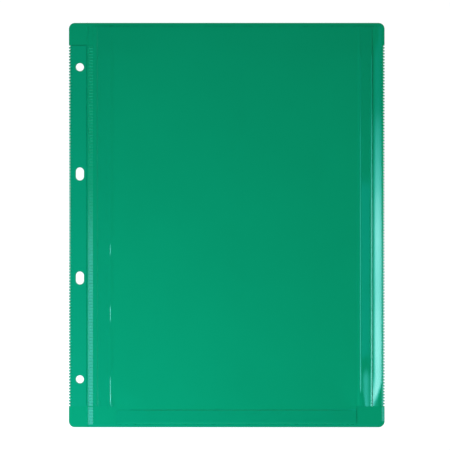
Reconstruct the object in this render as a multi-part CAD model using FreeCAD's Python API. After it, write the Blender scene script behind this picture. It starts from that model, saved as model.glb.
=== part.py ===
import FreeCAD, Part
import math
import os

# A loose-leaf pocket page for a ring album, lying flat with its front up.
# A back film carries a punched margin on the left, and a pocket with an open mouth at the top.
# The pocket's sides and foot are pleats, so that its front panel can lift off the back film.
# X runs from the margin to the free edge, Y towards the mouth, Z up.
# The origin lies under the middle of the page. All lengths are in millimetres, angles in degrees.

# Films
film = 0.2
strip_film = 0.42

# Page
page_width = 242.8
page_height = 311.0
corner_radius = 4.6

# Punched margin
margin_width = 14.2
strip_to_crease = 0.6
hole_inset = 8.5
hole_diameter = 6.2
slot_length = 10.0
ring_pitch = 80.0
round_hole_rise = 1.4
slot_rise = -0.7

# Knurled weld seams
edge_weld_width = 2.2
pocket_weld_width = 3.9
weld_lip_width = 0.8
weld_lip_crest = 0.3
crease_to_weld = 0.4
weld_from_top = 17.5
weld_from_bottom = 16.3
weld_break = 0.8
rib_pitch = 2.3
rib_foot = 1.2
rib_height = 0.3
web_height = 0.12
tooth_depth = 1.0

# Pleats
left_flange_width = 3.7
right_flange_width = 7.6
bottom_flange_width = 1.3
leaf_length = 9.4
leaf_rest_angle = 0.8
left_corner_width = 14.3
right_corner_width = 11.8
mouth_setback = 2.7

# Clearances: beside a fold's bead, at the end of a pleat, and between the two leaves of a pleat
fold_clearance = 0.15
end_clearance = 0.3
leaf_clearance = 0.25

# Page edges and the lines across it, from left to right
left_edge = -page_width / 2
right_edge = page_width / 2
crease_x = left_edge + margin_width
left_weld_x = crease_x + crease_to_weld
left_flange_x = left_weld_x + pocket_weld_width
left_fold_x = left_flange_x + left_flange_width
right_weld_x = right_edge - edge_weld_width
right_fold_x = right_weld_x - right_flange_width
foot_left_x = left_fold_x + left_corner_width
foot_right_x = right_fold_x - right_corner_width

# Lines up the page, from bottom to top
bottom_edge = -page_height / 2
top_edge = page_height / 2
bottom_flange_y = bottom_edge + edge_weld_width
bottom_fold_y = bottom_flange_y + bottom_flange_width
pleat_end_y = bottom_edge + weld_from_bottom
weld_top_y = top_edge - weld_from_top
mouth_y = top_edge - mouth_setback

# Heights: each fold turns on an axis, and its bead is as thick as two films.
# The crease is flush: its bead is as thick as the film that it ends.
bead_radius = film
crease_radius = film / 2
base_fold_z = 2 * film
leaf_rise = leaf_length * math.sin(math.radians(leaf_rest_angle))
leaf_top = film * math.cos(math.radians(leaf_rest_angle))
panel_fold_z = base_fold_z + 2 * (leaf_rise + leaf_top) + leaf_clearance

# Through cuts run this far past the films on both sides
cut_past = 1.0


def plate(x0, x1, y0, y1, z, thickness):
    """Flat film between two X and two Y lines."""
    return Part.makeBox(x1 - x0, y1 - y0, thickness, FreeCAD.Vector(x0, y0, z))


def round_corners(shape, x, radius):
    """Round the upright edges of a film that stand on the line X = x."""
    edges = []
    for edge in shape.Edges:
        start, end = (vertex.Point for vertex in edge.Vertexes)
        upright = abs(start.x - end.x) < 1e-6 and abs(start.y - end.y) < 1e-6
        if upright and abs(start.x - x) < 1e-6:
            edges.append(edge)
    return shape.makeFillet(radius, edges)


def bead_along_y(x, z, y0, y1, radius=bead_radius):
    return Part.makeCylinder(radius, y1 - y0, FreeCAD.Vector(x, y0, z), FreeCAD.Vector(0, 1, 0))


def bead_along_x(y, z, x0, x1):
    return Part.makeCylinder(bead_radius, x1 - x0, FreeCAD.Vector(x0, y, z), FreeCAD.Vector(1, 0, 0))


def ring_punch(y, length):
    """Cutter for one hole of the margin: round, or longer than wide for a slot along Y."""
    radius = hole_diameter / 2
    reach = length / 2 - radius
    x = left_edge + hole_inset
    depth = film + strip_film + 2 * cut_past
    up = FreeCAD.Vector(0, 0, 1)
    cutter = Part.makeCylinder(radius, depth, FreeCAD.Vector(x, y + reach, -cut_past), up)
    if reach > 0:
        low_end = Part.makeCylinder(radius, depth, FreeCAD.Vector(x, y - reach, -cut_past), up)
        middle = plate(x - radius, x + radius, y - reach, y + reach, -cut_past, depth)
        cutter = cutter.fuse([low_end, middle]).removeSplitter()
    return cutter


def ring_punches():
    """The row of four holes: two round ones outside, two slots between them."""
    outer = 1.5 * ring_pitch
    inner = 0.5 * ring_pitch
    return [
        ring_punch(round_hole_rise + outer, hole_diameter),
        ring_punch(round_hole_rise - outer, hole_diameter),
        ring_punch(slot_rise + inner, slot_length),
        ring_punch(slot_rise - inner, slot_length),
    ]


def knurled_weld(length, width, tooth):
    """Seam along +Y from the origin, one film up, with ribs across it.

    The body reaches from X = 0 to width - tooth, and the ribs go on to X = width as the teeth of the edge.
    """
    count = int(length / rib_pitch)
    lead = (length - count * rib_pitch + rib_pitch - rib_foot) / 2
    ribs = []
    for index in range(count):
        start = lead + index * rib_pitch
        ribs.append((start, start + rib_foot / 2, start + rib_foot))

    outline = [(0, 0), (length, 0), (length, web_height)]
    for start, crest, end in reversed(ribs):
        outline += [(end, web_height), (crest, rib_height), (start, web_height)]
    outline.append((0, web_height))
    seam = extrude_yz(outline, 0, width - tooth)

    if tooth > 0:
        teeth = []
        for start, crest, end in ribs:
            profile = [(start, 0), (end, 0), (end, web_height), (crest, rib_height), (start, web_height)]
            teeth.append(extrude_yz(profile, width - tooth, tooth))
        seam = seam.fuse(teeth).removeSplitter()
    return seam


def lipped_weld(length):
    """Inner seam along +Y from the origin: a smooth lip beside the crease, which slopes down to the ribs."""
    profile = [(0, 0), (weld_lip_crest, rib_height), (weld_lip_width, web_height), (weld_lip_width, 0)]
    points = [FreeCAD.Vector(x, 0, film + height) for x, height in profile]
    lip = Part.Face(Part.makePolygon(points + points[:1])).extrude(FreeCAD.Vector(0, length, 0))
    seam = at(knurled_weld(length, pocket_weld_width - weld_lip_width, 0), weld_lip_width, 0, 0)
    return lip.fuse(seam).removeSplitter()


def extrude_yz(outline, x, depth):
    """Solid from an outline of (y, height above the back film) points, drawn at x."""
    points = [FreeCAD.Vector(x, y, film + height) for y, height in outline]
    face = Part.Face(Part.makePolygon(points + points[:1]))
    return face.extrude(FreeCAD.Vector(depth, 0, 0))


def leaf(length_along):
    """One pleat leaf in its own frame: fold axis on Y, leaf running to +X and rising, film above the axis."""
    start = bead_radius + fold_clearance
    blank = plate(start, leaf_length, 0, length_along, 0, film)
    nose = Part.makeCylinder(film / 2, length_along, FreeCAD.Vector(leaf_length, 0, film / 2),
                             FreeCAD.Vector(0, 1, 0))
    blank = blank.fuse(nose).removeSplitter()
    blank.rotate(FreeCAD.Vector(0, 0, 0), FreeCAD.Vector(0, 1, 0), -leaf_rest_angle)
    return blank


def turn_about_z(shape, degrees):
    shape.rotate(FreeCAD.Vector(0, 0, 0), FreeCAD.Vector(0, 0, 1), degrees)
    return shape


def turn_over(shape):
    """Half turn about X: the leaf then hangs below its axis, and runs the other way along Y."""
    shape.rotate(FreeCAD.Vector(0, 0, 0), FreeCAD.Vector(1, 0, 0), 180)
    return shape


def at(shape, x, y, z):
    shape.translate(FreeCAD.Vector(x, y, z))
    return shape


def margin_back_film():
    """Margin of the back film, from the left edge to the crease, which ends it as a round nose."""
    blank = plate(left_edge, crease_x, bottom_edge, top_edge, 0, film)
    blank = round_corners(blank, left_edge, corner_radius)
    toothed_edge = plate(left_edge - cut_past, left_edge + tooth_depth, pleat_end_y, weld_top_y,
                         -cut_past, film + 2 * cut_past)
    blank = blank.cut([toothed_edge] + ring_punches())
    bead = bead_along_y(crease_x, crease_radius, bottom_edge, top_edge, crease_radius)
    return blank.fuse(bead).removeSplitter()


def hole_reinforcement_strip():
    """Thicker film on the margin, punched with it."""
    strip = plate(left_edge + edge_weld_width, crease_x - strip_to_crease, pleat_end_y, weld_top_y,
                  film, strip_film)
    return strip.cut(ring_punches())


def margin_edge_weld():
    seam = turn_about_z(knurled_weld(weld_top_y - pleat_end_y, edge_weld_width, tooth_depth), 180)
    return at(seam, left_edge + edge_weld_width, weld_top_y, 0)


def page_back_film():
    """Back film of the page, from the crease to the free edge."""
    start = crease_x + crease_radius + fold_clearance
    blank = plate(start, right_edge, bottom_edge, top_edge, 0, film)
    blank = round_corners(blank, right_edge, corner_radius)
    toothed_edge = plate(right_edge - tooth_depth, right_edge + cut_past, pleat_end_y, weld_top_y,
                         -cut_past, film + 2 * cut_past)
    return blank.cut(toothed_edge)


def left_weld():
    return at(lipped_weld(weld_top_y - pleat_end_y), left_weld_x, pleat_end_y, 0)


def left_corner_weld():
    return at(lipped_weld(pleat_end_y - weld_break - bottom_flange_y), left_weld_x, bottom_flange_y, 0)


def right_weld():
    seam = knurled_weld(weld_top_y - pleat_end_y, edge_weld_width, tooth_depth)
    return at(seam, right_weld_x, pleat_end_y, 0)


def right_corner_weld():
    low_end = bottom_edge + corner_radius
    seam = knurled_weld(pleat_end_y - weld_break - low_end, edge_weld_width, 0)
    return at(seam, right_weld_x, low_end, 0)


def bottom_weld():
    """Plain seam along the foot, pressed without ribs."""
    return plate(left_weld_x, right_edge - corner_radius, bottom_edge, bottom_flange_y, film, web_height)


def left_flange():
    """Film between the pocket's left weld and the base fold of the left pleat, which is its bead."""
    blank = plate(left_flange_x, left_fold_x, pleat_end_y, mouth_y, film, film)
    return blank.fuse(bead_along_y(left_fold_x, base_fold_z, pleat_end_y, mouth_y)).removeSplitter()


def right_flange():
    blank = plate(right_fold_x, right_weld_x, pleat_end_y, mouth_y, film, film)
    return blank.fuse(bead_along_y(right_fold_x, base_fold_z, pleat_end_y, mouth_y)).removeSplitter()


def bottom_flange():
    blank = plate(foot_left_x, foot_right_x, bottom_flange_y, bottom_fold_y, film, film)
    return blank.fuse(bead_along_x(bottom_fold_y, base_fold_z, foot_left_x, foot_right_x)).removeSplitter()


def left_corner_flap():
    """Flat film in the notched corner, between the ends of two pleats."""
    return plate(left_flange_x, foot_left_x, bottom_flange_y, pleat_end_y, film, film)


def right_corner_flap():
    return plate(foot_right_x, right_weld_x, bottom_flange_y, pleat_end_y, film, film)


def side_leaf_span():
    return mouth_y - pleat_end_y - end_clearance


def foot_leaf_span():
    return foot_right_x - foot_left_x - 2 * end_clearance


def left_leaf_lower():
    return at(leaf(side_leaf_span()), left_fold_x, pleat_end_y + end_clearance, base_fold_z)


def left_leaf_upper():
    return at(turn_over(leaf(side_leaf_span())), left_fold_x, mouth_y, panel_fold_z)


def right_leaf_lower():
    return at(turn_about_z(leaf(side_leaf_span()), 180), right_fold_x, mouth_y, base_fold_z)


def right_leaf_upper():
    hung = turn_about_z(turn_over(leaf(side_leaf_span())), 180)
    return at(hung, right_fold_x, pleat_end_y + end_clearance, panel_fold_z)


def bottom_leaf_lower():
    raised = turn_about_z(leaf(foot_leaf_span()), 90)
    return at(raised, foot_right_x - end_clearance, bottom_fold_y, base_fold_z)


def bottom_leaf_upper():
    hung = turn_about_z(turn_over(leaf(foot_leaf_span())), 90)
    return at(hung, foot_left_x + end_clearance, bottom_fold_y, panel_fold_z)


def front_panel():
    """Front of the pocket, with notched bottom corners and a bead along each of its three folds."""
    body = plate(left_fold_x, right_fold_x, pleat_end_y, mouth_y, panel_fold_z, film)
    foot = plate(foot_left_x, foot_right_x, bottom_fold_y, pleat_end_y, panel_fold_z, film)
    beads = [
        bead_along_y(left_fold_x, panel_fold_z, pleat_end_y, mouth_y),
        bead_along_y(right_fold_x, panel_fold_z, pleat_end_y, mouth_y),
        bead_along_x(bottom_fold_y, panel_fold_z, foot_left_x, foot_right_x),
    ]
    return body.fuse([foot] + beads).removeSplitter()


pieces = [
    margin_back_film, hole_reinforcement_strip, margin_edge_weld,
    page_back_film,
    left_weld, left_corner_weld, left_flange, left_corner_flap,
    right_weld, right_corner_weld, right_flange, right_corner_flap,
    bottom_weld, bottom_flange,
    left_leaf_lower, left_leaf_upper,
    right_leaf_lower, right_leaf_upper,
    bottom_leaf_lower, bottom_leaf_upper,
    front_panel,
]

os.makedirs("parts", exist_ok=True)
for piece in pieces:
    piece().exportStep("parts/" + piece.__name__ + ".step")
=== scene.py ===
import math

import bmesh
import bpy
from mathutils import Matrix, Vector


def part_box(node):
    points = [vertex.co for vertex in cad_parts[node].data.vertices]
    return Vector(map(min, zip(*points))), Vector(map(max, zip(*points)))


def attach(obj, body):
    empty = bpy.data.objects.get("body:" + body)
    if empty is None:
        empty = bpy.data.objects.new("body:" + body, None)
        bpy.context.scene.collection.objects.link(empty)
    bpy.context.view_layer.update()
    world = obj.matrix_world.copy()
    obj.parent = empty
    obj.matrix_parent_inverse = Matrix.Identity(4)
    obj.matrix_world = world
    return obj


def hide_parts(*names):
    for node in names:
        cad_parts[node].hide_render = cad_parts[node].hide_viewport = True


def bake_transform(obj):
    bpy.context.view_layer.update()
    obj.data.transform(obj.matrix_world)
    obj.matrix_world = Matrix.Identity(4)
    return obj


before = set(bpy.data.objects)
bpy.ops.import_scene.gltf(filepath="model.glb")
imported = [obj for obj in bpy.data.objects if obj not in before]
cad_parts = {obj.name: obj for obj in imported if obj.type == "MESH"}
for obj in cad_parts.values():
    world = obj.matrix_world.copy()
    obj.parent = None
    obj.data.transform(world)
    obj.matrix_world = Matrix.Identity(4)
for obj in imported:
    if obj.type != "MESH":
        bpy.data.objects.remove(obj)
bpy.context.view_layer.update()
mm = 0.001

# Back film
# One sheet of dyed vinyl, cut to the page's outline, with rounded corners and four punched ring holes.
# It is pressed along a crease beside the margin, where the page turns while the rings hold the margin.
page_low, page_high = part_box("page_back_film")
film = page_high.z - page_low.z

vinyl_green = (0.0008, 0.302, 0.122, 1.0)
vinyl_green_dense = (0.0006, 0.278, 0.112, 1.0)
vinyl_highlight = (0.42, 0.93, 1.0, 1.0)
vinyl_ior = 1.53
dye_cloud = 60 * mm
rubbed_patch = 22 * mm
skin_grain = 1.4 * mm
skin_share = 0.006
slack_wave = 38 * mm
slack_depth = 0.2 * mm
# Where the painted sheen on the pocket's welds begins and ends, up the page.
sheen_start_y = 40 * mm
sheen_end_y = -40 * mm


class Wire:
    """A socket of a material, lamp or room. Arithmetic on wires and numbers adds Math nodes."""

    def __init__(self, wiring, socket):
        self.wiring = wiring
        self.socket = socket

    def math(self, operation, other):
        return self.wiring.node("ShaderNodeMath", {"operation": operation}, {0: self, 1: other})

    def __add__(self, other):
        return self.math("ADD", other)

    def __mul__(self, other):
        return self.math("MULTIPLY", other)

    __radd__ = __add__
    __rmul__ = __mul__


class Wiring:
    """The nodes of a material, lamp or room, and one method that adds any node to them."""

    def __init__(self, tree):
        self.tree = tree

    def node(self, kind, settings, sockets, output=0):
        made = self.tree.nodes.new(kind)
        for name, value in settings.items():
            if name == "stops":
                self.set_stops(made.color_ramp.elements, value)
            else:
                setattr(made, name, value)
        for name, value in sockets.items():
            self.plug(made.inputs[name], value)
        return Wire(self, made.outputs[output])

    def set_stops(self, elements, stops):
        for element, stop in zip(elements, [stops[0], stops[-1]]):
            element.position, element.color = stop
        for position, colour in stops[1:-1]:
            elements.new(position).color = colour

    def plug(self, socket, value):
        if isinstance(value, Wire):
            self.tree.links.new(value.socket, socket)
        else:
            socket.default_value = value

    def ramp(self, share, stops):
        """Colour that runs through these stops, each a position and a colour."""
        return self.node("ShaderNodeValToRGB", {"stops": stops}, {"Fac": share})


class Finish(Wiring):
    """A material being made."""

    def __init__(self, name):
        self.material = bpy.data.materials.new(name)
        self.material.use_nodes = True
        super().__init__(self.material.node_tree)
        self.shader = self.tree.nodes["Principled BSDF"]

    def noise(self, place, size, detail):
        """Cloudy pattern from 0 to 1 whose patches are about this many metres across."""
        return self.node("ShaderNodeTexNoise", {},
                         {"Vector": place, "Scale": 1 / size, "Detail": detail})

    def blend_colours(self, share, first, second):
        return self.node("ShaderNodeMix", {"data_type": "RGBA"},
                         {0: share, 6: first, 7: second}, output=2)

    def bump(self, height, depth):
        """Surface relief of this depth in metres where height runs from 0 to 1."""
        return self.node("ShaderNodeBump", {}, {"Height": height, "Distance": depth, "Strength": 1.0})


def dyed_vinyl(name, thin_colour, dense_colour, rough_low, rough_high, mirror=0.9, painted_sheen=None):
    """Glossy calendered film: a cloudy dye, a fine skin and faint rubbed patches.

    If a second colour is given, it is blended in towards the page's foot as a painted sheen, a
    highlight painted into the colour.
    """
    finish = Finish(name)
    place = finish.node("ShaderNodeTexCoord", {}, {}, output="Object")
    dye = finish.noise(place, dye_cloud, detail=4.0)
    rubbed = finish.noise(place, rubbed_patch, detail=6.0)
    skin = finish.noise(place, skin_grain, detail=2.0)
    slack = finish.noise(place, slack_wave, detail=1.0)
    colour = finish.blend_colours(dye, thin_colour, dense_colour)
    # Painted sheen: a lighter colour blended in towards the page's foot, standing in for a highlight.
    if painted_sheen:
        up_page = finish.node("ShaderNodeSeparateXYZ", {}, {"Vector": place}, output="Y")
        sheen_share = finish.node(
            "ShaderNodeMapRange", {"interpolation_type": "SMOOTHSTEP"},
            {"Value": up_page, "From Min": sheen_start_y, "From Max": sheen_end_y})
        colour = finish.blend_colours(sheen_share, colour, painted_sheen)
    shader = finish.shader
    finish.plug(shader.inputs["Base Color"], colour)
    finish.plug(shader.inputs["Roughness"], rough_low + rubbed * (rough_high - rough_low))
    finish.plug(shader.inputs["Normal"], finish.bump(skin * skin_share + slack, slack_depth))
    shader.inputs["Specular Tint"].default_value = vinyl_highlight
    shader.inputs["IOR"].default_value = vinyl_ior
    shader.inputs["Specular IOR Level"].default_value = mirror
    return finish.material


def dress(nodes, material):
    """Give carried-over pieces their finish."""
    for name in nodes:
        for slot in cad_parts[name].material_slots:
            slot.material = material


film_vinyl = dyed_vinyl("film_vinyl", vinyl_green, vinyl_green_dense, rough_low=0.05, rough_high=0.09)
dress(["margin_back_film", "page_back_film"], film_vinyl)

# Crease
# The line along which the film was pressed soft between the reinforcement strip and the pocket's weld.
# It is the film itself, and closes the joint between margin and page.
crease_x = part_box("margin_back_film")[1].x - film / 2
crease_half_width = 0.45 * mm
crease_skin = 0.03 * mm
crease_sink = 0.2
crease_film = 0.8 * film
crease_segments = 12
rim_angle = math.radians(35)


def new_piece(name, bm):
    """Piece of film at the origin from a finished bmesh, smooth but for its rims."""
    bmesh.ops.recalc_face_normals(bm, faces=bm.faces[:])
    mesh = bpy.data.meshes.new(name)
    bm.to_mesh(mesh)
    bm.free()
    for polygon in mesh.polygons:
        polygon.use_smooth = True
    mesh.set_sharp_from_angle(angle=rim_angle)
    mesh.materials.append(film_vinyl)
    piece = bpy.data.objects.new(name, mesh)
    bpy.context.scene.collection.objects.link(piece)
    return piece


def swept_film(section, sweep, thickness, rows=1):
    """Film with this section, drawn out along sweep in so many rows and thickened behind its line."""
    bm = bmesh.new()
    corners = [bm.verts.new(point) for point in section]
    line = [bm.edges.new(pair) for pair in zip(corners, corners[1:])]
    for _ in range(rows):
        drawn = bmesh.ops.extrude_edge_only(bm, edges=line)["geom"]
        moved = [item for item in drawn if isinstance(item, bmesh.types.BMVert)]
        line = [item for item in drawn if isinstance(item, bmesh.types.BMEdge)]
        line = [edge for edge in line if all(vertex in moved for vertex in edge.verts)]
        bmesh.ops.translate(bm, verts=moved, vec=sweep / rows)
    bmesh.ops.solidify(bm, geom=bm.faces[:], thickness=thickness)
    return bm


crease_section = []
for index in range(crease_segments + 1):
    across = -1 + 2 * index / crease_segments
    height = film + crease_skin * (math.cos(across * math.pi / 2) - crease_sink)
    crease_section.append((crease_x + across * crease_half_width, page_low.y, height))
crease_sweep = Vector((0, page_high.y - page_low.y, 0))
crease = new_piece("crease", swept_film(crease_section, crease_sweep, crease_film))
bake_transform(crease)

# Hole reinforcement strip
# A second, thicker strip of vinyl on the margin, so that the rings don't tear the film.
# It is punched together with the margin and welded to it along the outer edge.
strip_green = (0.0008, 0.303, 0.131, 1.0)
strip_green_dense = (0.0006, 0.280, 0.121, 1.0)
strip_vinyl = dyed_vinyl("strip_vinyl", strip_green, strip_green_dense, rough_low=0.08, rough_high=0.14)
dress(["hole_reinforcement_strip"], strip_vinyl)

# Weld seams
# Both films fused by a heated bar, which presses ribs across the long seams and teeth into the edges.
# It dulls the seams beside the pocket, which also get a painted sheen towards the foot. Those of the
# margin and the foot stay glossy.
weld_green = (0.0010, 0.304, 0.124, 1.0)
weld_green_dense = (0.0006, 0.280, 0.113, 1.0)
# Lighter colour of the pocket's welds towards the foot, a painted sheen.
weld_painted_sheen = (0.033, 0.358, 0.200, 1.0)
weld_vinyl = dyed_vinyl("weld_vinyl", weld_green, weld_green_dense, rough_low=0.36, rough_high=0.44,
                        mirror=0.2, painted_sheen=weld_painted_sheen)
dress(["left_weld", "left_corner_weld", "right_weld", "right_corner_weld"], weld_vinyl)
dress(["margin_edge_weld", "bottom_weld"], strip_vinyl)

# Corner flaps
# Flat ends of the front film, in the notches between the side pleats and the foot's pleat.
# They lie on the back film and are welded down on it.
dress(["left_corner_flap", "right_corner_flap"], film_vinyl)

# Pleats
# The front film runs from its weld as a flange, then as two leaves, folded like a bellows.
# The lower leaf goes inwards to the inner fold, and the upper leaf comes back out to the panel's edge.
panel_low, panel_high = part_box("front_panel")
left_fold_x = panel_low.x + film
right_fold_x = panel_high.x - film
bottom_fold_y = panel_low.y + film
mouth_y = panel_high.y
pleat_end_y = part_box("left_flange")[0].y
foot_left_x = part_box("bottom_flange")[0].x
foot_right_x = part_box("bottom_flange")[1].x
panel_top = panel_high.z
panel_fold_z = panel_top - film
base_fold_z = 2 * film
leaf_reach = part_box("left_leaf_lower")[1].x - left_fold_x - film / 2
leaf_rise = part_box("left_leaf_lower")[1].z - base_fold_z - film

row_length = 3 * mm
flange_step = 0.3 * mm
lower_leaf_step = 1.0 * mm
upper_leaf_step = 1.5 * mm
upper_leaf_film = 0.9 * film
fold_half_width = 0.5 * mm
fold_rise = 0.22 * mm
fold_dip = 1.2 * mm
nose_radius = (panel_fold_z - base_fold_z) / 2 - leaf_rise
nose_segments = 10
nose_turn = math.radians(175)
mouth_press = 0.8
mouth_press_length = 26 * mm
notch_press = 0.65
notch_press_inwards = 25 * mm
slope_end = 16.5 * mm
slope_reach_at_end = 0.12
slope_softness = 0.08
settled_share = 0.45
settled_from = 0.5
right_rise = 0.78 * mm
right_rise_loss = 0.4
right_loss_start_y = 10 * mm
right_loss_run = 110 * mm


def beside_left(inwards, along, height):
    return Vector((left_fold_x + inwards, along, height))


def beside_right(inwards, along, height):
    return Vector((right_fold_x - inwards, along, height))


def above_foot(inwards, along, height):
    return Vector((along, bottom_fold_y + inwards, height))


def inwards_of(point, place):
    """How far this point lies inside the fold that place measures from."""
    return (point - place(0, 0, 0)).dot(place(1, 0, 0) - place(0, 0, 0))


def ruled_lines(start, stop, step):
    """Evenly spaced positions after start, up to and with stop."""
    count = max(1, round((stop - start) / step))
    return [start + (stop - start) * (index + 1) / count for index in range(count)]


def smooth_step(value):
    share = min(1.0, max(0.0, value))
    return share * share * (3 - 2 * share)


def flattening(share, strength):
    """How much of the pleats' height is pressed out: strength at share 0, nothing at share 1."""
    return strength * (1 - smooth_step(share))


def pressed(height, amount):
    """Height of a film in the stack once this much of the stack's height is pressed out."""
    return height - max(0.0, height - base_fold_z) * amount


def side_press(along):
    return flattening((mouth_y - along) / mouth_press_length, mouth_press)


def foot_press(along):
    return flattening(min(along - foot_left_x, foot_right_x - along) / notch_press_inwards, notch_press)


def flat_flange(along):
    return 0.0


def right_slope(along):
    """The free edge's flange stands up at the fold, most of all in its lower half."""
    loss = right_rise_loss * smooth_step((along - right_loss_start_y) / right_loss_run)
    return right_rise * (1 - loss)


def settled(share):
    """Part of a flange's slope that is missing beside the fold, where the flange lies level."""
    turn = min(1.0, share / settled_share)
    return settled_share * (0.5 - turn + turn ** 3 - turn ** 4 / 2)


def flange_swell(along, share):
    """Part of a flange's slope that it has at this share of the way from the fold to the weld."""
    past_end = (along - pleat_end_y) / slope_end
    reach = min(1.0, slope_reach_at_end + (1 - slope_reach_at_end) * past_end) - share
    swell = (reach + math.hypot(reach, slope_softness * (1 - share))) / 2
    return swell - settled(share) * smooth_step(past_end - settled_from)


def lower_pleat(name, place, low, high, press, slope, flange, leaf_body):
    """Flange, base fold, lower leaf and the rounded inner fold, as one film."""
    flange_width = -min(inwards_of(corner, place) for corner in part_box(flange))
    section = []
    for inwards in [-flange_width] + ruled_lines(-flange_width, fold_half_width, flange_step):
        section.append((inwards, film + film * smooth_step(inwards / fold_half_width + 1)))
    for inwards in ruled_lines(fold_half_width, leaf_reach, lower_leaf_step):
        section.append((inwards, base_fold_z + leaf_rise * inwards / leaf_reach))
    for index in range(1, nose_segments + 1):
        turn = nose_turn * index / nose_segments
        section.append((leaf_reach + nose_radius * math.sin(turn),
                        base_fold_z + leaf_rise + nose_radius * (1 - math.cos(turn))))
    points = [place(inwards, low, height) for inwards, height in section]
    sweep = place(0, high, 0) - place(0, low, 0)
    bm = swept_film(points, sweep, film, round((high - low) / row_length))
    for vertex in bm.verts:
        inwards = inwards_of(vertex.co, place)
        along = vertex.co.dot(sweep.normalized())
        share = min(1.0, max(0.0, -inwards / flange_width))
        rise = fold_rise * smooth_step(1 - share) + slope(along) * flange_swell(along, share)
        rise *= 1 - smooth_step(inwards / fold_dip)
        vertex.co.z = pressed(vertex.co.z + rise, press(along))
    piece = new_piece(name, bm)
    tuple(place(-fold_half_width, 0, 0))
    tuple(place(fold_half_width, 0, 0))
    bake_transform(piece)
    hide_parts(flange, leaf_body)


def upper_pleat(name, place, low, high, press, leaf_body):
    """Rounded edge of the panel and the leaf that hangs from it, as one film."""
    section = []
    for index in range(nose_segments + 1):
        turn = math.pi * index / nose_segments
        section.append((-film * math.sin(turn), panel_fold_z + film * math.cos(turn)))
    for inwards in ruled_lines(0, leaf_reach, upper_leaf_step):
        section.append((inwards, panel_fold_z - film - leaf_rise * inwards / leaf_reach))
    points = [place(inwards, low, height) for inwards, height in section]
    sweep = place(0, high, 0) - place(0, low, 0)
    bm = swept_film(points, sweep, -upper_leaf_film, round((high - low) / row_length))
    piece = new_piece(name, bm)
    for vertex in piece.data.vertices:
        along = vertex.co.dot(sweep.normalized())
        vertex.co.z = pressed(vertex.co.z, press(along))
    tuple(place(0, 0, panel_top))
    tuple(place(0, 0, panel_fold_z - film / 2))
    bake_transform(piece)
    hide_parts(leaf_body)


lower_pleat("left_pleat_base", beside_left, pleat_end_y, mouth_y, side_press, flat_flange,
            "left_flange", "left_leaf_lower")
lower_pleat("right_pleat_base", beside_right, pleat_end_y, mouth_y, side_press, right_slope,
            "right_flange", "right_leaf_lower")
lower_pleat("bottom_pleat_base", above_foot, foot_left_x, foot_right_x, foot_press, flat_flange,
            "bottom_flange", "bottom_leaf_lower")
upper_pleat("left_pleat_top", beside_left, pleat_end_y, mouth_y, side_press, "left_leaf_upper")
upper_pleat("right_pleat_top", beside_right, pleat_end_y, mouth_y, side_press, "right_leaf_upper")
upper_pleat("bottom_pleat_top", above_foot, foot_left_x, foot_right_x, foot_press, "bottom_leaf_upper")

# Front panel
# The pocket's front, one film with folds along both sides and its foot, and notched bottom corners.
# The pleats hold its edges up, and inside their inner folds it drops and lies on the back film.
edge_swell = 0.14 * mm
edge_swell_width = 1.1 * mm
ridge_height = 0.07 * mm
ridge_width = 0.6 * mm
right_ridge_share = 1.2
spring = 0.5 * mm
spring_top_y = pleat_end_y + 42 * mm
spring_run = 22 * mm
spring_width = 14 * mm
drop = 0.3 * mm
drop_width = 2.0 * mm
foot_drop_width = 0.9 * mm
foot_groove = 0.2 * mm
foot_groove_width = 25 * mm
foot_groove_run = 6 * mm
soft_drop_width = 3.6 * mm
sharp_drop_width = 0.87 * mm
sharp_stretches = [(-19 * mm, 9 * mm), (-68 * mm, 12 * mm), (-125 * mm, 15 * mm)]
sag = 0.62 * mm
sag_width = 32 * mm
notch_press_outwards = 6 * mm
notch_press_upwards = 12 * mm
fine_step = 0.25 * mm
middle_step = 1 * mm
coarse_step = 3 * mm
cut_tolerance = 1e-7

# Over the pleats the film is coloured a little darker than the panel, as painted shade.
pleat_shade_green = (0.0008, 0.292, 0.121, 1.0)
pleat_shade_green_dense = (0.0006, 0.268, 0.111, 1.0)
pleat_shade_vinyl = dyed_vinyl("pleat_shade_vinyl", pleat_shade_green, pleat_shade_green_dense, rough_low=0.05, rough_high=0.09)


def cut_along(bm, axis, positions):
    """Cut every face by planes square to this axis."""
    normal = Vector([float(index == axis) for index in range(3)])
    for position in positions:
        geometry = bm.verts[:] + bm.edges[:] + bm.faces[:]
        bmesh.ops.bisect_plane(bm, geom=geometry, plane_co=normal * position, plane_no=normal,
                               dist=cut_tolerance)


def left_sharpness(y):
    """The left inner fold is mostly soft, with a few sharp stretches."""
    sharpness = 0.0
    for middle, half_length in sharp_stretches:
        sharpness = max(sharpness, smooth_step(2 - 2 * abs(y - middle) / half_length))
    return sharpness


def fold_distances(x, y):
    """How far a point of the panel lies inside its left fold, its right fold and the foot's fold."""
    return x - left_fold_x, right_fold_x - x, y - bottom_fold_y


def notch_flattening(x, y):
    """How much the stack is pressed out round the notched corners."""
    beside = min(x - foot_left_x, foot_right_x - x)
    beside_share = beside / notch_press_inwards if beside > 0 else -beside / notch_press_outwards
    above_share = max(0.0, y - pleat_end_y) / notch_press_upwards
    return flattening(math.hypot(beside_share, above_share), notch_press)


def panel_rise(x, y):
    """Height over the flat panel: a rounded edge, and a ridge where the pleats' inner folds push up."""
    from_left, from_right, from_foot = fold_distances(x, y)
    from_fold = max(0.0, min(from_left, from_right, from_foot))
    past_ridge = from_fold - leaf_reach
    swell = edge_swell * (1 - max(0.0, 1 - from_fold / edge_swell_width) ** 2)
    ridge = ridge_height * math.exp(-((min(0.0, past_ridge) / ridge_width) ** 2))
    if from_fold == from_right:
        sprung = min(smooth_step(from_fold / leaf_reach), 1 - smooth_step(past_ridge / spring_width))
        ridge *= right_ridge_share
        ridge += spring * sprung * smooth_step((spring_top_y - y) / spring_run)
    return swell + ridge


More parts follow.
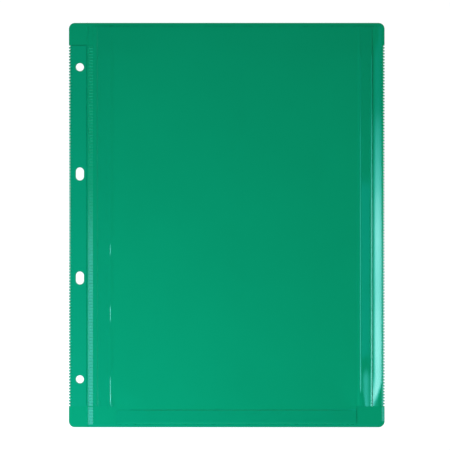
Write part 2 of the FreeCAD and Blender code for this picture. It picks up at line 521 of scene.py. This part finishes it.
def panel_fall(x, y):
    """Depth under the flat panel: the drop at the inner folds, the sag and the foot's groove."""
    from_left, from_right, from_foot = fold_distances(x, y)
    from_fold = max(0.0, min(from_left, from_right, from_foot))
    past_ridge = from_fold - leaf_reach
    if from_fold == from_left:
        sharpness = left_sharpness(y)
        dropped = (1 - sharpness) * smooth_step(past_ridge / soft_drop_width)
        dropped += sharpness * min(1.0, max(0.0, past_ridge / sharp_drop_width))
    elif from_fold == from_foot:
        dropped = smooth_step(past_ridge / foot_drop_width)
    else:
        dropped = smooth_step(past_ridge / drop_width)
    past_foot = from_foot - leaf_reach
    groove = smooth_step(past_foot / foot_drop_width) - smooth_step(past_foot / foot_groove_width)
    groove *= smooth_step((min(from_left, from_right) - leaf_reach) / foot_groove_run)
    return drop * dropped + sag * smooth_step(past_ridge / sag_width) + foot_groove * groove


panel_outline = [
    (left_fold_x, mouth_y), (left_fold_x, pleat_end_y),
    (foot_left_x, pleat_end_y), (foot_left_x, bottom_fold_y),
    (foot_right_x, bottom_fold_y), (foot_right_x, pleat_end_y),
    (right_fold_x, pleat_end_y), (right_fold_x, mouth_y),
]
panel_bm = bmesh.new()
panel_bm.faces.new([panel_bm.verts.new((x, y, panel_top)) for x, y in panel_outline])

ridge_start = leaf_reach - 2 * ridge_width
drop_end = leaf_reach + soft_drop_width
fold_lines = ruled_lines(0, edge_swell_width, fine_step)
fold_lines += ruled_lines(edge_swell_width, ridge_start, middle_step)
fold_lines += ruled_lines(ridge_start, drop_end, fine_step)
cut_along(panel_bm, 0, [left_fold_x + line for line in fold_lines])
cut_along(panel_bm, 0, [right_fold_x - line for line in fold_lines])
cut_along(panel_bm, 0, ruled_lines(left_fold_x + drop_end, right_fold_x - drop_end - coarse_step,
                                   coarse_step))
cut_along(panel_bm, 1, [bottom_fold_y + line for line in fold_lines])
cut_along(panel_bm, 1, ruled_lines(bottom_fold_y + drop_end, mouth_y - coarse_step, coarse_step))
for vertex in panel_bm.verts:
    x, y = vertex.co.xy
    height = panel_top + panel_rise(x, y) - panel_fall(x, y)
    vertex.co.z = pressed(height, 1 - (1 - notch_flattening(x, y)) * (1 - side_press(y)))
bmesh.ops.solidify(panel_bm, geom=panel_bm.faces[:], thickness=film)
pocket_front = new_piece("pocket_front", panel_bm)
# The bands over the pleats take the darker colour, a painted shade.
pocket_front.data.materials.append(pleat_shade_vinyl)
for polygon in pocket_front.data.polygons:
    if min(fold_distances(*polygon.center.xy)) < leaf_reach:
        polygon.material_index = 1
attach(pocket_front, "front_panel")
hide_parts("front_panel")

# Table
# A plain white table top, a little below the page so that the two don't share a face.
# Where it is seen or mirrored it glows white, and it still takes the page's shadow.
table_half = 3.0
table_drop = 0.05 * mm
table_white = (0.9, 0.9, 0.9, 1.0)
table_seen = (0.3, 0.3, 0.3, 1.0)
table_glow = (0.8, 0.8, 0.8, 1.0)
no_glow = (0.0, 0.0, 0.0, 1.0)
table_roughness = 0.9
table_mirror = 0.1

table_finish = Finish("white_table")
seen = table_finish.node("ShaderNodeLightPath", {}, {}, output="Is Camera Ray")
seen += table_finish.node("ShaderNodeLightPath", {}, {}, output="Is Glossy Ray")
seen += table_finish.node("ShaderNodeLightPath", {}, {}, output="Is Transmission Ray")
table_shader = table_finish.shader
table_colour = table_finish.blend_colours(seen, table_white, table_seen)
table_light = table_finish.blend_colours(seen, no_glow, table_glow)
table_finish.plug(table_shader.inputs["Base Color"], table_colour)
table_finish.plug(table_shader.inputs["Emission Color"], table_light)
table_shader.inputs["Emission Strength"].default_value = 1.0
table_shader.inputs["Roughness"].default_value = table_roughness
table_shader.inputs["Specular IOR Level"].default_value = table_mirror

table_bm = bmesh.new()
bmesh.ops.create_grid(table_bm, x_segments=1, y_segments=1, size=table_half)
bmesh.ops.translate(table_bm, verts=table_bm.verts[:], vec=(0, 0, -table_drop))
table_mesh = bpy.data.meshes.new("table")
table_bm.to_mesh(table_mesh)
table_bm.free()
table_mesh.materials.append(table_finish.material)
table = bpy.data.objects.new("table", table_mesh)
bpy.context.scene.collection.objects.link(table)

# Light
# A soft box and a bluish one below it stand at the lower left of a dim room, and a faint card hangs
# over the free edge. A tall box on the right is dimmed towards one side and towards the mouth.


def soft_box(name, place, target, width, length, power, colour=(1.0, 1.0, 1.0), mirrored=True):
    """Rectangular light that faces target, with its length up the page.

    One that isn't mirrored lights the film but leaves no glint on it.
    """
    light = bpy.data.lights.new(name, "AREA")
    light.shape = "RECTANGLE"
    light.size = width
    light.size_y = length
    light.energy = power
    light.color = colour
    lamp = bpy.data.objects.new(name, light)
    back = (Vector(place) - Vector(target)).normalized()
    across = Vector((0, 1, 0)).cross(back).normalized()
    turn = Matrix((across, back.cross(across), back)).transposed()
    lamp.location = place
    lamp.rotation_euler = turn.to_euler()
    lamp.visible_glossy = mirrored
    bpy.context.scene.collection.objects.link(lamp)
    return light


soft_box("left_soft_box", place=(-0.46, -0.40, 0.55), target=(-0.05, -0.05, 0),
         width=0.3, length=0.3, power=6.45, colour=(1.0, 1.0, 1.2))
soft_box("low_soft_box", place=(-0.34, -0.42, 0.32), target=(-0.1, -0.1, 0),
         width=0.2, length=0.2, power=1.3, colour=(0.1, 0.25, 1.0), mirrored=False)
soft_box("right_card", place=(0.205, -0.0925, 0.9), target=(0.205, -0.0925, 0),
         width=0.036, length=0.315, power=0.027, colour=(0.05, 0.8, 1.0))
right_box = soft_box("right_soft_box", place=(0.405, -0.045, 0.8), target=(0.1, -0.045, 0),
                     width=0.25, length=0.66, power=4.7)


def dimmed(stops):
    """Stops of a ramp from positions and brightnesses. The light loses red first as it is dimmed."""
    return [(position, (share * share, share, share, 1.0)) for position, share in stops]


bright_across = dimmed([(0.0, 0.03), (0.2, 0.27), (0.4, 0.51), (0.75, 1.0)])
bright_up = dimmed([(0.31, 1.0), (0.44, 0.82), (0.54, 0.92), (0.66, 0.57), (0.76, 0.40), (0.83, 0.13)])
right_box.use_nodes = True
right_wiring = Wiring(right_box.node_tree)
on_box = right_wiring.node("ShaderNodeNewGeometry", {}, {}, output="Parametric")
across_box = right_wiring.node("ShaderNodeSeparateXYZ", {}, {"Vector": on_box}, output="X")
up_box = right_wiring.node("ShaderNodeSeparateXYZ", {}, {"Vector": on_box}, output="Y")
box_glow = right_wiring.node(
    "ShaderNodeMix", {"data_type": "RGBA", "blend_type": "MULTIPLY"},
    {0: 1.0, 6: right_wiring.ramp(across_box, bright_across), 7: right_wiring.ramp(up_box, bright_up)},
    output=2)
right_wiring.plug(right_wiring.tree.nodes["Emission"].inputs["Color"], box_glow)

# The room is dark overhead, and lower down beyond the mouth and the foot, so that neither the flat film
# nor the folds along the foot mirror its walls into the camera.
wall_grey = (0.505, 0.505, 0.505, 1.0)
ceiling_grey = (0.035, 0.035, 0.035, 1.0)
wall_top = 0.62
ceiling_edge = 0.78
ceiling_slope = 0.27
world = bpy.data.worlds.new("room")
bpy.context.scene.world = world
world.use_nodes = True
room = Wiring(world.node_tree)
direction = room.node("ShaderNodeTexCoord", {}, {}, output="Generated")
upwards = room.node("ShaderNodeSeparateXYZ", {}, {"Vector": direction}, output="Z")
mouthwards = room.node("ShaderNodeSeparateXYZ", {}, {"Vector": direction}, output="Y")
room_height = upwards + mouthwards * mouthwards * ceiling_slope
room_grey = room.ramp(room_height, [(wall_top, wall_grey), (ceiling_edge, ceiling_grey)])
room.plug(room.tree.nodes["Background"].inputs["Color"], room_grey)

# Camera
# It looks straight down on the page, whose mouth is at the top of the picture.
# The lens is long, as for a picture of a flat thing.
picture_width = 346.2 * mm
lens = 100.0
sensor = 36.0
page_right_of_middle = 1.31 * mm
page_above_middle = -0.05 * mm
camera_data = bpy.data.cameras.new("camera")
camera_data.lens = lens
camera_data.sensor_width = sensor
camera = bpy.data.objects.new("camera", camera_data)
camera.location = (-page_right_of_middle, -page_above_middle, picture_width * lens / sensor)
bpy.context.scene.collection.objects.link(camera)
bpy.context.scene.camera = camera

bpy.context.scene.view_settings.view_transform = "Standard"
